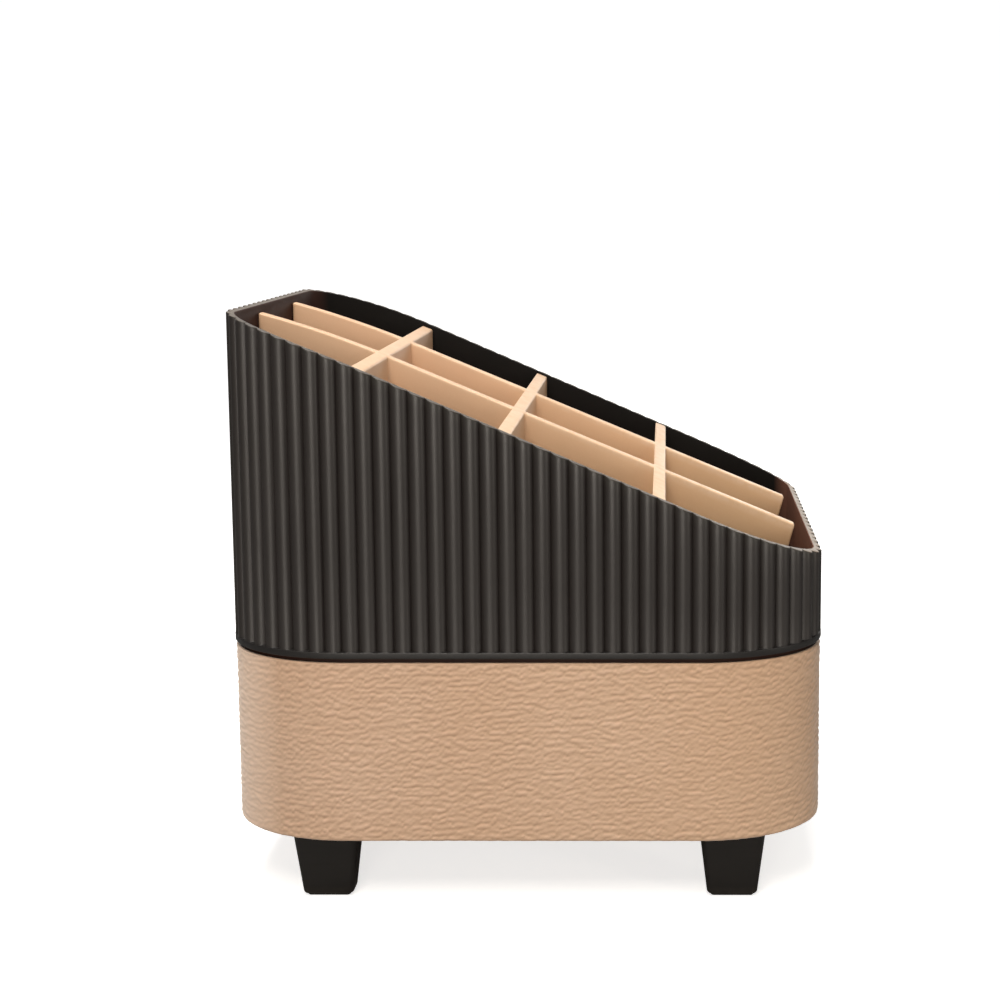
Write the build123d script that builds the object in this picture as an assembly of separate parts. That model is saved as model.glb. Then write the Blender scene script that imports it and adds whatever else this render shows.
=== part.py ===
from build123d import *
import math
import os

# Slant-top brush holder on a leatherette-clad base with a drawer.
# Frame: millimetres, +Z up, origin on the table under the middle of the holder.
# +X points from the high end to the low end, where the drawer opens.
# -Y is the near long side, +Y the far long side.

os.makedirs("parts", exist_ok=True)

# ---------------------------------------------------------------- dimensions
# outline of the upper shell, measured over its lower band
length = 200.0
width = 150.0
corner_x = 42.0            # plan corner, extent along X
corner_y = 27.0            # plan corner, extent along Y

# levels
foot_height = 23.0         # table to underside of the base
base_top = 83.5            # top of the base and of its deck
shadow_gap = 1.5           # recess between base and shell
band_height = 2.1          # plain lower band of the shell
floor_top = 87.0           # floor of the compartments

# slanted rim: straight fall, easing towards level at both ends
rim_mid = 157.2            # rim height at X = 0
rim_slope = 0.4342
rim_ease_x = -50.0
rim_ease_radius = 395.0
low_ease_x = 60.0
low_ease_radius = 945.0

# ribs
rib_depth = 1.9
rib_crest_inset = 0.1      # crests stand this far inside the lower band
rib_pitch_long = 5.70      # pitch on the flat of the long sides
rib_start = -1.5           # X of the groove the flat's ribs are counted from
ribs_half_flat = 12        # ribs each way from there at that pitch
ribs_to_end = 16           # ribs from there to the middle of an end wall

shell_wall = 3.1           # outer outline to inner face
seat_inset = 1.9           # black seat that shows under the shell's lower band

# base
base_inset = 0.3           # base outline inside the shell outline
wrap_t = 1.0
core_wall = 3.2
core_floor_t = 3.0
deck_t = 3.0
bottom_edge_r = 1.4

# drawer bay
bay_half_w = 45.2
bay_rear_x = -84.0
partition_t = 3.0
open_z0 = 28.6
open_z1 = 77.4

# drawer
drawer_travel = 120.0
reveal = 0.5
front_t = 8.0              # panel with its covering
tray_half_w = 43.2
tray_rear_x = -83.7
tray_z0 = 29.05
tray_top = 74.0
tray_wall = 2.6
tray_floor_t = 2.4
notch_r = 11.0             # finger notch in the covered front
stop_tab_top = 78.5

# divider insert, one moulding
divider_t = 4.3
grid_drop = 1.6            # its top sits this far under the rim at the high cross wall
grid_rise = 0.0155         # and comes up to the rim by this much per mm along X
cross_x = (-53.5, -5.5, 44.7)
long_y = 22.8
divider_side_gap = 0.3
free_end_x = 93.0          # top of the raked free ends of the long walls
free_end_rake = 15.0       # degrees from vertical

# feet
foot_x = (-66.6, 69.2)
foot_top_w, foot_bot_w = 22.0, 16.8
foot_front_top, foot_front_bot = 69.3, 66.5
foot_back_top, foot_back_bot = 57.3, 58.5
pad_t = 0.8

# screws
screw_r = 1.5
screw_clear = 0.05
head_r = 3.0
head_h = 1.6
boss_xy = (78.0, 57.0)
boss_r = 4.5


# ------------------------------------------------------------------- helpers
def outline(inset):
    """Plan outline: straight sides with quarter-ellipse corners."""
    hx, hy = length / 2 - inset, width / 2 - inset
    rx, ry = corner_x - inset, corner_y - inset
    cx, cy = hx - rx, hy - ry
    edges = [
        EllipticalCenterArc((cx, cy), rx, ry, start_angle=0, arc_size=90),
        Line((cx, hy), (-cx, hy)),
        EllipticalCenterArc((-cx, cy), rx, ry, start_angle=90, arc_size=90),
        Line((-hx, cy), (-hx, -cy)),
        EllipticalCenterArc((-cx, -cy), rx, ry, start_angle=180, arc_size=90),
        Line((-cx, -hy), (cx, -hy)),
        EllipticalCenterArc((cx, -cy), rx, ry, start_angle=270, arc_size=90),
        Line((hx, -cy), (hx, cy)),
    ]
    return make_face(Wire(edges))


def slab(inset, z0, z1):
    return extrude(Pos(0, 0, z0) * outline(inset), amount=z1 - z0)


def block(x0, x1, y0, y1, z0, z1):
    return Pos((x0 + x1) / 2, (y0 + y1) / 2, (z0 + z1) / 2) * Box(x1 - x0, y1 - y0, z1 - z0)


def rod(x, y, z0, z1, r):
    return Pos(x, y, (z0 + z1) / 2) * Cylinder(r, z1 - z0)


def rod_x(x0, x1, y, z, r):
    return Pos((x0 + x1) / 2, y, z) * Rot(0, 90, 0) * Cylinder(r, x1 - x0)


def fall_z(x):
    """The slant with its easing at the high end only."""
    if x >= rim_ease_x:
        return rim_mid - rim_slope * x
    a = math.atan(rim_slope)
    ox = rim_ease_x - rim_ease_radius * math.sin(a)
    oz = rim_mid - rim_slope * rim_ease_x - rim_ease_radius * math.cos(a)
    return oz + math.sqrt(rim_ease_radius ** 2 - (x - ox) ** 2)


def rim_z(x):
    if x <= low_ease_x:
        return fall_z(x)
    a = math.atan(rim_slope)
    ox = low_ease_x + low_ease_radius * math.sin(a)
    oz = rim_mid - rim_slope * low_ease_x + low_ease_radius * math.cos(a)
    return oz - math.sqrt(low_ease_radius ** 2 - (x - ox) ** 2)


def grid_z(x):
    """Top of the divider insert."""
    return fall_z(x) - grid_drop + grid_rise * (x - cross_x[0])


def above(top_of, half_y, eased_low=False):
    """Everything above a slanted top given as a function of X."""
    x_lo, x_hi, top = -112.0, 120.0, 260.0
    p0 = (x_hi, top_of(x_hi))
    q1 = (low_ease_x, top_of(low_ease_x))
    xq = (low_ease_x + x_hi) / 2
    p1 = (rim_ease_x, top_of(rim_ease_x))
    xm = (rim_ease_x + x_lo) / 2
    p2 = (xm, top_of(xm))
    p3 = (x_lo, top_of(x_lo))
    with BuildSketch(Plane.XZ) as sk:
        with BuildLine():
            if eased_low:
                ThreePointArc(p0, (xq, top_of(xq)), q1)
                Line(q1, p1)
            else:
                Line(p0, p1)
            ThreePointArc(p1, p2, p3)
            Line(p3, (x_lo, top))
            Line((x_lo, top), (x_hi, top))
            Line((x_hi, top), p0)
        make_face()
    return extrude(sk.sketch, amount=half_y, both=True)


def csk_screw(x, y, z_top, tip_z):
    """Countersunk screw with its head flush at z_top, pointing down."""
    cone = Pos(x, y, z_top - head_h / 2) * Cone(screw_r, head_r, head_h)
    return cone + rod(x, y, tip_z, z_top - head_h, screw_r)


def csk_hole(x, y, z_top, tip_z):
    g = screw_clear
    cone = Pos(x, y, z_top - (head_h + g) / 2) * Cone(screw_r + g, head_r + g, head_h + g)
    return cone + rod(x, y, tip_z - 0.3, z_top - head_h, screw_r + g)


def save(shape, name):
    export_step(shape, "parts/" + name + ".step")


# ------------------------------------------------------- ribbed upper outline
def walk_outline(inset, n=4000):
    """Points and outward normals along half of the outline, from the middle of
    the high end round the near long side to the middle of the low end."""
    hx, hy = length / 2 - inset, width / 2 - inset
    rx, ry = corner_x - inset, corner_y - inset
    cx, cy = hx - rx, hy - ry
    half = [(0.0, -hy, 0.0, -1.0), (cx, -hy, 0.0, -1.0)]
    for i in range(1, n + 1):
        t = -math.pi / 2 + (math.pi / 2) * i / n
        x, y = cx + rx * math.cos(t), -cy + ry * math.sin(t)
        nx, ny = math.cos(t) / rx, math.sin(t) / ry
        d = math.hypot(nx, ny)
        half.append((x, y, nx / d, ny / d))
    half.append((hx, 0.0, 1.0, 0.0))
    return [(-x, y, -nx, ny) for x, y, nx, ny in reversed(half[1:])] + half


def half_stations():
    """Rib grooves and crests from the middle of the high end to the middle of
    the low end, alternating groove, crest, groove ..."""
    pts = walk_outline(rib_crest_inset)
    s = [0.0]
    for a, b in zip(pts, pts[1:]):
        s.append(s[-1] + math.hypot(b[0] - a[0], b[1] - a[1]))
    total = s[-1]
    flat = ribs_half_flat * rib_pitch_long
    a0 = total / 2 + rib_start - flat
    a1 = total / 2 + rib_start + flat
    m = 2 * ribs_to_end
    stations = [a0 * i / m for i in range(m)]
    stations += [a0 + i * rib_pitch_long / 2 for i in range(4 * ribs_half_flat)]
    stations += [a1 + (total - a1) * i / m for i in range(m + 1)]
    out = []
    k = 0
    for i, st in enumerate(stations):
        st = min(st, total)
        while k < len(s) - 2 and s[k + 1] < st:
            k += 1
        f = (st - s[k]) / (s[k + 1] - s[k])
        a, b = pts[k], pts[k + 1]
        x, y = a[0] + f * (b[0] - a[0]), a[1] + f * (b[1] - a[1])
        nx, ny = a[2] + f * (b[2] - a[2]), a[3] + f * (b[3] - a[3])
        d = math.hypot(nx, ny)
        depth = rib_depth if i % 2 == 0 else 0.0
        out.append((x - depth * nx / d, y - depth * ny / d))
    return out


def ribbed_face():
    near = half_stations()
    ring = near + [(x, -y) for x, y in reversed(near[1:-1])]
    edges = []
    m = len(ring)
    for i in range(0, m, 2):
        edges.append(ThreePointArc(ring[i], ring[i + 1], ring[(i + 2) % m]))
    return make_face(Wire(edges)), m // 2


# --------------------------------------------------------------- upper shell
rib_face, rib_total = ribbed_face()
band_z0 = base_top + shadow_gap
band_z1 = band_z0 + band_height
shell = extrude(Pos(0, 0, band_z1) * rib_face, amount=230.0 - band_z1)
shell = shell - above(rim_z, 90.0, eased_low=True)
shell = shell + slab(0.0, band_z0, band_z1)
shell = shell + slab(seat_inset, base_top, band_z0)
shell = shell - slab(shell_wall, floor_top, 240.0)
for sx in (-1, 1):
    for sy in (-1, 1):
        shell = shell - csk_hole(sx * boss_xy[0], sy * boss_xy[1], floor_top, base_top - 1.0)
save(shell, "ribbed_shell")

# ------------------------------------------------------------ divider insert
div_z0 = floor_top + 0.05
half_cross = width / 2 - shell_wall - divider_side_gap
end_x0 = -(length / 2 - shell_wall - divider_side_gap)
top_at_end = grid_z(free_end_x)
lean_per_mm = math.tan(math.radians(free_end_rake))
lean = (top_at_end - div_z0) * lean_per_mm
with BuildSketch(Plane.XZ) as sk:
    with BuildLine():
        Polyline(
            (end_x0, div_z0),
            (free_end_x - lean, div_z0),
            (free_end_x + lean_per_mm * 2.0, top_at_end + 2.0),
            (free_end_x + lean_per_mm * 2.0, 230.0),
            (end_x0, 230.0),
            close=True,
        )
    make_face()
long_wall = extrude(sk.sketch, amount=divider_t / 2, both=True)
insert = Pos(0, -long_y, 0) * long_wall + Pos(0, long_y, 0) * long_wall
for xc in cross_x:
    insert = insert + block(xc - divider_t / 2, xc + divider_t / 2, -half_cross, half_cross, div_z0, 230.0)
insert = insert - above(grid_z, 90.0)
save(insert, "divider_insert")

# ---------------------------------------------------------------------- base
# leatherette covering: a thin tub over the core, turned under its floor
z_w0 = foot_height
z_c0 = foot_height + wrap_t
wrap_out = slab(base_inset, z_w0, base_top)
wrap_out = fillet(wrap_out.faces().sort_by(Axis.Z)[0].edges(), bottom_edge_r)
core_out_inset = base_inset + wrap_t
wrap_in = slab(core_out_inset, z_c0, base_top + 5)
wrap_in = fillet(wrap_in.faces().sort_by(Axis.Z)[0].edges(), bottom_edge_r - wrap_t)
mouth = block(80.0, 110.0, -bay_half_w, bay_half_w, open_z0, open_z1)
wrap = wrap_out - wrap_in - mouth

# moulded core: outer wall, floor, bay partitions and screw posts
core_top = base_top - deck_t
z_bay = z_c0 + core_floor_t
core = slab(core_out_inset, z_c0, core_top)
core = fillet(core.faces().sort_by(Axis.Z)[0].edges(), bottom_edge_r - wrap_t)
core = core - slab(core_out_inset + core_wall, z_bay, core_top + 5)
inner_end = length / 2 - core_out_inset - core_wall
part_x0 = bay_rear_x - partition_t
for sy in (-1, 1):
    y0, y1 = sorted((sy * bay_half_w, sy * (bay_half_w + partition_t)))
    core = core + block(part_x0, inner_end + 1.0, y0, y1, z_bay, core_top)
core = core + block(part_x0, bay_rear_x, -bay_half_w - 1, bay_half_w + 1, z_bay, core_top)
for sx in (-1, 1):
    for sy in (-1, 1):
        core = core + rod(sx * boss_xy[0], sy * boss_xy[1], z_bay, core_top, boss_r)
core = core - mouth

# deck that closes the base and carries the shell
deck = slab(core_out_inset, core_top, base_top)

# long screws through shell floor and deck into the posts
long_tip = 66.0
shell_screws = []
for sx in (-1, 1):
    for sy in (-1, 1):
        x, y = sx * boss_xy[0], sy * boss_xy[1]
        shell_screws.append(csk_screw(x, y, floor_top, long_tip))
        hole = csk_hole(x, y, floor_top, long_tip)
        deck = deck - hole
        core = core - hole

# ---------------------------------------------------------------------- feet
foot_tip = 10.0
foot_names = {
    (-1, -1): "foot_near_high",
    (1, -1): "foot_near_low",
    (-1, 1): "foot_far_high",
    (1, 1): "foot_far_low",
}
pads = []
foot_screws = []
screw_y = (foot_front_top + foot_back_top) / 2 - 0.3
for (sx, sy), name in foot_names.items():
    fx = foot_x[0] if sx < 0 else foot_x[1]
    top_d = foot_front_top - foot_back_top
    bot_d = foot_front_bot - foot_back_bot
    top_y = sy * (foot_front_top + foot_back_top) / 2
    bot_y = sy * (foot_front_bot + foot_back_bot) / 2
    with BuildPart() as fp:
        with BuildSketch(Plane.XY.offset(pad_t)):
            with Locations((fx, bot_y)):
                RectangleRounded(foot_bot_w, bot_d, 1.9)
        with BuildSketch(Plane.XY.offset(foot_height)):
            with Locations((fx, top_y)):
                RectangleRounded(foot_top_w, top_d, 2.4)
        loft()
    foot = fp.part
    foot = fillet(foot.faces().sort_by(Axis.Z)[0].edges(), 0.8)
    hole = csk_hole(fx, sy * screw_y, z_bay, foot_tip)
    foot = foot - hole
    core = core - hole
    wrap = wrap - hole
    foot_screws.append(csk_screw(fx, sy * screw_y, z_bay, foot_tip))
    save(foot, name)
    with BuildPart() as pp:
        with BuildSketch(Plane.XY):
            with Locations((fx, bot_y)):
                RectangleRounded(foot_bot_w - 2.4, bot_d - 2.4, 1.2)
        extrude(amount=pad_t)
    pads.append(pp.part)

save(Compound(children=pads), "foot_pads")
save(Compound(children=foot_screws), "foot_screws")
save(Compound(children=shell_screws), "shell_screws")
save(wrap, "base_wrap")
save(core, "base_core")

# ------------------------------------------------------------ drawer running
# L-shaped runners on the bay floor, one along each partition
runner_x0, runner_x1 = bay_rear_x + 0.2, 89.0
for sy, name in ((-1, "runner_left"), (1, "runner_right")):
    foot_y0, foot_y1 = sorted((sy * 33.0, sy * bay_half_w))
    lip_y0, lip_y1 = sorted((sy * (tray_half_w + 0.4), sy * bay_half_w))
    runner = block(runner_x0, runner_x1, foot_y0, foot_y1, z_bay, tray_z0 - 0.05)
    runner = runner + block(runner_x0, runner_x1, lip_y0, lip_y1, tray_z0 - 0.05, 36.0)
    save(runner, name)

# stop block under the deck; the tab on the tray's rear wall meets it
tab_front = tray_rear_x + tray_wall
stop_x0 = tab_front + drawer_travel + 0.3
stop_z0 = tray_top + 1.2
stop = block(stop_x0, stop_x0 + 8.0, -9.0, 9.0, stop_z0, core_top)
sx0 = stop_x0 + 4.0
g = screw_clear
stop_screw = Pos(sx0, 0, stop_z0 + head_h / 2) * Cone(head_r, screw_r, head_h) + rod(sx0, 0, stop_z0 + head_h, 82.6, screw_r)
stop_hole = Pos(sx0, 0, stop_z0 + (head_h + g) / 2) * Cone(head_r + g, screw_r + g, head_h + g) + rod(sx0, 0, stop_z0 + head_h, 82.9, screw_r + g)
stop = stop - stop_hole
deck = deck - stop_hole
save(stop, "drawer_stop")
save(stop_screw, "stop_screw")
save(deck, "base_deck")

# -------------------------------------------------------------------- drawer
face_x = length / 2 - base_inset
panel_x0 = face_x - front_t
panel_x1 = face_x - wrap_t
front_half = bay_half_w - reveal
front_z0, front_z1 = open_z0 + reveal, open_z1 - reveal

skin = block(panel_x0, face_x, -front_half, front_half, front_z0, front_z1)
skin = skin - rod_x(panel_x0 - 1, face_x + 1, 0, front_z1, notch_r)
skin_edges = skin.faces().sort_by(Axis.X)[-1].edges()
skin = fillet([e for e in skin_edges if e.geom_type == GeomType.LINE and e.length > 20], 0.9)
panel = block(panel_x0, panel_x1, -front_half + wrap_t, front_half - wrap_t, front_z0 + wrap_t, front_z1 - wrap_t)
panel = panel - rod_x(panel_x0 - 1, face_x + 1, 0, front_z1, notch_r + wrap_t)
front_wrap = skin - block(panel_x0 - 1, panel_x1, -front_half + wrap_t, front_half - wrap_t, front_z0 + wrap_t, front_z1 - wrap_t)
front_wrap = front_wrap + (
    (block(panel_x0, face_x - 0.5, -notch_r - wrap_t, notch_r + wrap_t, front_z1 - notch_r - wrap_t, front_z1 - wrap_t / 2)
     & rod_x(panel_x0, face_x - 0.5, 0, front_z1, notch_r + wrap_t))
    - rod_x(panel_x0 - 1, face_x + 1, 0, front_z1, notch_r)
)

tray = block(tray_rear_x, panel_x0, -tray_half_w, tray_half_w, tray_z0, tray_top)
tray = tray - block(
    tray_rear_x + tray_wall, panel_x0 - tray_wall,
    -tray_half_w + tray_wall, tray_half_w - tray_wall,
    tray_z0 + tray_floor_t, tray_top + 5,
)
tray = tray + block(tray_rear_x, tray_rear_x + tray_wall, -10.0, 10.0, tray_top - 1, stop_tab_top)
tray = tray - rod_x(panel_x0 - tray_wall - 1, panel_x0 + 1, 0, front_z1, notch_r + 2.0)

front_screws = []
for sy in (-1, 1):
    y, z = sy * 25.0, 52.0
    xi = panel_x0 - tray_wall
    front_screws.append(rod_x(xi - 1.7, xi, y, z, 2.8) + rod_x(xi, panel_x1 - 1.8, y, z, screw_r))
    hole = rod_x(xi - 0.5, panel_x1 - 1.5, y, z, screw_r + screw_clear)
    tray = tray - hole
    panel = panel - hole

liner_z0 = tray_z0 + tray_floor_t
liner = block(
    tray_rear_x + tray_wall + 0.4, panel_x0 - tray_wall - 0.4,
    -tray_half_w + tray_wall + 0.4, tray_half_w - tray_wall - 0.4,
    liner_z0, liner_z0 + 1.5,
)

save(tray, "drawer_tray")
save(liner, "drawer_liner")
save(panel, "drawer_front_panel")
save(front_wrap, "drawer_front_wrap")
save(Compound(children=front_screws), "front_screws")

print("ribs", rib_total, "rim high", round(rim_z(-length / 2), 2), "rim low", round(rim_z(length / 2), 2))
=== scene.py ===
import bpy
import bmesh
import math
import numpy as np
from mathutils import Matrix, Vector


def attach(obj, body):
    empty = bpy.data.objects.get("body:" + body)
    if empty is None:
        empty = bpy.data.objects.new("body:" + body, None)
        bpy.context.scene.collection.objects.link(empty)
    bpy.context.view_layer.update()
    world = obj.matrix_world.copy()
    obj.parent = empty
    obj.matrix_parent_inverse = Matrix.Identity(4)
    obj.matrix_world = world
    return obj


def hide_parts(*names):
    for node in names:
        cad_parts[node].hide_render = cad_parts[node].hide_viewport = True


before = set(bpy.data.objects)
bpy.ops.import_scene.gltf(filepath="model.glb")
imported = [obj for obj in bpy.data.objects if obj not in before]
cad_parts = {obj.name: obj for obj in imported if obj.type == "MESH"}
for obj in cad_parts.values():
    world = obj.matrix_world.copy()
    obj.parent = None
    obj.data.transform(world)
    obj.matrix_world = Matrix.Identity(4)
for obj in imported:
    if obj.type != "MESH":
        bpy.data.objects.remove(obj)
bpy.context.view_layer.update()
scene = bpy.context.scene

MM = 0.001

# ------------------------------------------------------------------ dimensions
# the same numbers as the solid model, in millimetres
HX, HY = 100.0, 75.0
RX, RY = 42.0, 27.0
CX, CY = HX - RX, HY - RY
BASE_TOP = 83.5
BAND_Z0, BAND_Z1 = 85.0, 87.1
FLOOR_TOP = 87.0
RIM_MID, RIM_SLOPE, EASE_X, EASE_R = 157.2, 0.4342, -50.0, 395.0
LOW_X, LOW_R = 60.0, 945.0
RIB_DEPTH, CREST = 1.9, 0.1
RIB_START, RIB_PITCH = -1.5, 5.70
WALL = 3.1
SEAT = 1.9


def fall_z(x):
    """The slant with its easing at the high end only."""
    x = np.asarray(x, float)
    a = math.atan(RIM_SLOPE)
    ox = EASE_X - EASE_R * math.sin(a)
    oz = RIM_MID - RIM_SLOPE * EASE_X - EASE_R * math.cos(a)
    arc = oz + np.sqrt(np.maximum(EASE_R**2 - (x - ox) ** 2, 0))
    return np.where(x >= EASE_X, RIM_MID - RIM_SLOPE * x, arc)


def rim_z(x):
    """Height of the slanted rim at x."""
    x = np.asarray(x, float)
    a = math.atan(RIM_SLOPE)
    ox = LOW_X + LOW_R * math.sin(a)
    oz = RIM_MID - RIM_SLOPE * LOW_X + LOW_R * math.cos(a)
    arc = oz - np.sqrt(np.maximum(LOW_R**2 - (x - ox) ** 2, 0))
    return np.where(x <= LOW_X, fall_z(x), arc)


# ------------------------------------------------------------------ noise
def _grid(seed, nx, ny):
    r = np.random.default_rng(seed)
    a = r.uniform(0, 2 * math.pi, (ny, nx))
    return np.cos(a), np.sin(a)


def perlin(x, y, nx, ny, seed):
    """Gradient noise on arrays x, y in cells; it repeats every nx and ny cells."""
    gx, gy = _grid(seed, nx, ny)
    x0 = np.floor(x).astype(int)
    y0 = np.floor(y).astype(int)
    fx, fy = x - x0, y - y0

    def dot(ix, iy):
        i, j = ix % nx, iy % ny
        return gx[j, i] * (x - ix) + gy[j, i] * (y - iy)

    u = fx * fx * fx * (fx * (fx * 6 - 15) + 10)
    v = fy * fy * fy * (fy * (fy * 6 - 15) + 10)
    a = dot(x0, y0) + u * (dot(x0 + 1, y0) - dot(x0, y0))
    b = dot(x0, y0 + 1) + u * (dot(x0 + 1, y0 + 1) - dot(x0, y0 + 1))
    return (a + v * (b - a)) * 1.5


def grain_height(s, z, length):
    """Leather relief over distance s round the piece and height z in mm: short ripples
    about 2 mm apart up the side and about as long, as a sum of waves
    that close round the piece; its spread is 1 and it stays within -2 to 2."""
    r = np.random.default_rng(7)
    out = np.zeros(np.broadcast(s, z).shape)
    waves = 200
    for _ in range(waves):
        turns = round(r.normal(0.0, 0.34) * length)
        up = abs(r.normal(0.475, 0.14))
        out += math.sqrt(2 / waves) * np.cos(2 * math.pi * (turns * s / length + up * z) + r.uniform(0, 2 * math.pi))
    return 2.0 * np.tanh(out / 2.0)


# ------------------------------------------------------------------ mesh help
def add_mesh(name, verts, faces, mats, face_mat=None, smooth=True, flat_faces=()):
    """A mesh object from vertices in millimetres."""
    me = bpy.data.meshes.new(name)
    co = np.asarray(verts, float) * MM
    me.from_pydata(co.tolist(), [], faces)
    for m in mats:
        me.materials.append(m)
    if smooth:
        me.polygons.foreach_set("use_smooth", [True] * len(me.polygons))
    if face_mat is not None:
        me.polygons.foreach_set("material_index", face_mat)
    for i in flat_faces:
        me.polygons[i].use_smooth = False
    me.validate()
    me.update()
    ob = bpy.data.objects.new(name, me)
    scene.collection.objects.link(ob)
    return ob


def keep_relief(ob, values):
    """Keeps the relief's height on the mesh, for the colour of crests and creases: painted shade in the creases, partly
    their darker pigment.
    """
    full = np.zeros(len(ob.data.vertices), np.float32)
    full[: len(values)] = values
    made = ob.data.attributes.new("relief", "FLOAT", "POINT")
    made.data.foreach_set("value", full)


def ring_faces(rows, cols, skip=None, base=0):
    """Quads between successive closed rings of cols points."""
    out = []
    for r in range(rows - 1):
        a, b = base + r * cols, base + (r + 1) * cols
        for c in range(cols):
            if skip is not None and skip(r, c):
                continue
            d = (c + 1) % cols
            out.append((a + c, a + d, b + d, b + c))
    return out


def joined(name, parts, mats):
    """One object from several (verts, faces, material index) lists."""
    verts, faces, idx = [], [], []
    for v, f, m in parts:
        n = len(verts)
        verts.extend([tuple(p) for p in v])
        faces.extend([tuple(n + i for i in q) for q in f])
        idx.extend([m] * len(f))
    return add_mesh(name, verts, faces, mats, idx)


def sharpen(ob, degrees=35):
    """Keeps smooth shading but marks edges over an angle as sharp."""
    me = ob.data
    bm = bmesh.new()
    bm.from_mesh(me)
    lim = math.radians(degrees)
    for e in bm.edges:
        if len(e.link_faces) == 2 and e.calc_face_angle(0) > lim:
            e.smooth = False
    bm.to_mesh(me)
    bm.free()


def box_bm(x0, x1, y0, y1, z0, z1):
    bm = bmesh.new()
    bmesh.ops.create_cube(bm, size=1.0)
    for v in bm.verts:
        v.co = Vector((
            x0 if v.co.x < 0 else x1,
            y0 if v.co.y < 0 else y1,
            z0 if v.co.z < 0 else z1,
        )) * MM
    return bm


def bm_object(name, bm, mats):
    me = bpy.data.meshes.new(name)
    bm.to_mesh(me)
    bm.free()
    for m in mats:
        me.materials.append(m)
    ob = bpy.data.objects.new(name, me)
    scene.collection.objects.link(ob)
    return ob


def applied(ob):
    """Applies an object's modifiers."""
    dg = bpy.context.evaluated_depsgraph_get()
    me = bpy.data.meshes.new_from_object(ob.evaluated_get(dg))
    ob.modifiers.clear()
    old = ob.data
    ob.data = me
    bpy.data.meshes.remove(old)
    return ob


def boolean(ob, cutter, operation="DIFFERENCE"):
    m = ob.modifiers.new("b", "BOOLEAN")
    m.operation = operation
    m.solver = "EXACT"
    m.object = cutter
    applied(ob)
    me = cutter.data
    bpy.data.objects.remove(cutter)
    bpy.data.meshes.remove(me)
    return ob


def rounded(ob, width, segments=3, degrees=35):
    """Rounds the edges over an angle and shades smooth."""
    m = ob.modifiers.new("r", "BEVEL")
    m.width = width * MM
    m.segments = segments
    m.limit_method = "ANGLE"
    m.angle_limit = math.radians(degrees)
    m.miter_outer = "MITER_ARC"
    m.use_clamp_overlap = True
    applied(ob)
    ob.data.polygons.foreach_set("use_smooth", [True] * len(ob.data.polygons))
    sharpen(ob, 40)
    return ob


def cyl_bm(p0, p1, r, n=64):
    """A capped cylinder mesh from p0 to p1 in mm, used as a cutter."""
    p0, p1 = Vector(p0), Vector(p1)
    ax = (p1 - p0).normalized()
    u = ax.orthogonal().normalized()
    w = ax.cross(u)
    bm = bmesh.new()
    lo = [bm.verts.new((p0 + r * (math.cos(2 * math.pi * i / n) * u + math.sin(2 * math.pi * i / n) * w)) * MM) for i in range(n)]
    hi = [bm.verts.new((p1 + r * (math.cos(2 * math.pi * i / n) * u + math.sin(2 * math.pi * i / n) * w)) * MM) for i in range(n)]
    bm.faces.new(list(reversed(lo)))
    bm.faces.new(hi)
    for i in range(n):
        j = (i + 1) % n
        bm.faces.new((lo[i], lo[j], hi[j], hi[i]))
    return bm


# ------------------------------------------------------------------ materials
def new_material(name):
    m = bpy.data.materials.new(name)
    m.use_nodes = True
    nt = m.node_tree
    for n in list(nt.nodes):
        nt.nodes.remove(n)
    out = nt.nodes.new("ShaderNodeOutputMaterial")
    bsdf = nt.nodes.new("ShaderNodeBsdfPrincipled")
    nt.links.new(bsdf.outputs[0], out.inputs[0])
    coord = nt.nodes.new("ShaderNodeTexCoord")
    return m, nt, bsdf, coord.outputs["Object"]


def srgb(r, g, b):
    def f(c):
        c /= 255.0
        return c / 12.92 if c <= 0.04045 else ((c + 0.055) / 1.055) ** 2.4

    return (f(r), f(g), f(b), 1.0)


def node(nt, kind, **props):
    n = nt.nodes.new(kind)
    for k, v in props.items():
        setattr(n, k, v)
    return n


def mapping(nt, vec, scale, loc=(0, 0, 0)):
    n = node(nt, "ShaderNodeMapping")
    nt.links.new(vec, n.inputs["Vector"])
    n.inputs["Scale"].default_value = scale
    n.inputs["Location"].default_value = loc
    return n.outputs[0]


def noise(nt, vec, scale=1.0, detail=3.0, rough=0.5, distortion=0.0):
    n = node(nt, "ShaderNodeTexNoise")
    nt.links.new(vec, n.inputs["Vector"])
    n.inputs["Scale"].default_value = scale
    n.inputs["Detail"].default_value = detail
    n.inputs["Roughness"].default_value = rough
    n.inputs["Distortion"].default_value = distortion
    return n.outputs["Fac"]


def math_node(nt, op, a, b=None, clamp=False):
    n = node(nt, "ShaderNodeMath", operation=op, use_clamp=clamp)
    for i, v in enumerate((a, b)):
        if v is None:
            continue
        if isinstance(v, (int, float)):
            n.inputs[i].default_value = v
        else:
            nt.links.new(v, n.inputs[i])
    return n.outputs[0]


def ramp(nt, fac, stops):
    n = node(nt, "ShaderNodeValToRGB")
    nt.links.new(fac, n.inputs["Fac"])
    cr = n.color_ramp
    while len(cr.elements) < len(stops):
        cr.elements.new(0.5)
    for e, (p, c) in zip(cr.elements, stops):
        e.position = p
        e.color = c
    return n.outputs["Color"]


def spread(nt, fac, lo, hi, a=0.3, b=0.7):
    n = node(nt, "ShaderNodeMapRange")
    nt.links.new(fac, n.inputs["Value"])
    n.inputs["From Min"].default_value = a
    n.inputs["From Max"].default_value = b
    n.inputs["To Min"].default_value = lo
    n.inputs["To Max"].default_value = hi
    return n.outputs["Result"]


def bump(nt, height, bsdf, distance, strength=1.0, normal=None):
    n = node(nt, "ShaderNodeBump")
    nt.links.new(height, n.inputs["Height"])
    n.inputs["Distance"].default_value = distance
    n.inputs["Strength"].default_value = strength
    if normal is not None:
        nt.links.new(normal, n.inputs["Normal"])
    if bsdf is not None:
        nt.links.new(n.outputs[0], bsdf.inputs["Normal"])
    return n.outputs[0]


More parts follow.
